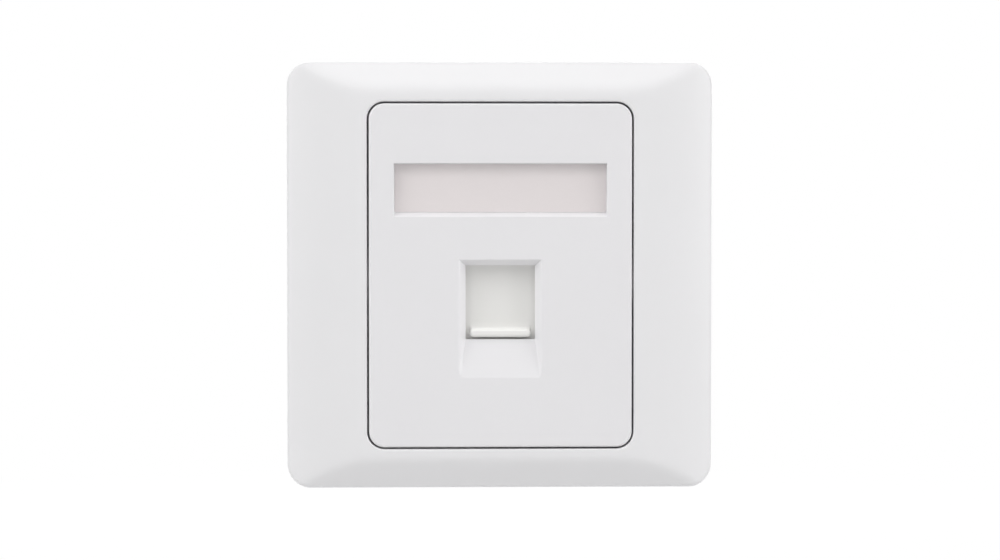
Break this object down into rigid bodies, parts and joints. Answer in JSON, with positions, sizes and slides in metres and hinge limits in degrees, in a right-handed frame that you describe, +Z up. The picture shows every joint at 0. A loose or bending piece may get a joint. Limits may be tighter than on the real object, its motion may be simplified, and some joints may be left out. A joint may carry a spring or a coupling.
{
  "type": "single-port faceplate",
  "caption": "Square wall faceplate with a crowned clip-on frame, a label window and a port closed by a sprung sliding shutter, for a snap-in data jack.",
  "frame": {"origin": "middle of the plate, on the plane of the wall it is screwed to", "axes": "+Z up the wall, +X to the right as seen from the room, +Y into the wall; the front faces -Y"},
  "size_m": [0.086, 0.0148, 0.086],
  "materials": {
    "frame_plastic": "satin white moulding",
    "panel_plastic": "satin white moulding",
    "label_paper": "uncoated blank card",
    "clear_plastic": "clear polished",
    "shutter_plastic": "satin warm white moulding",
    "spring_steel": "drawn wire",
    "cradle_plastic": "plain white moulding"
  },
  "bodies": {
    "plate": {"outer_frame": "frame_plastic", "centre_plate": "panel_plastic", "label_card": "label_paper", "label_window": "clear_plastic", "shutter_spring": "spring_steel", "jack_cradle": "cradle_plastic"},
    "shutter": {"shutter": "shutter_plastic"}
  },
  "joints": [
    {"name": "shutter_slide", "type": "slide", "parent": "plate", "child": "shutter", "axis": [0, 0, 1], "range_m": [0, 0.0124], "stiffness_N_per_m": 15, "springref_m": -0.01, "deforming": ["shutter_spring"]}
  ]
}
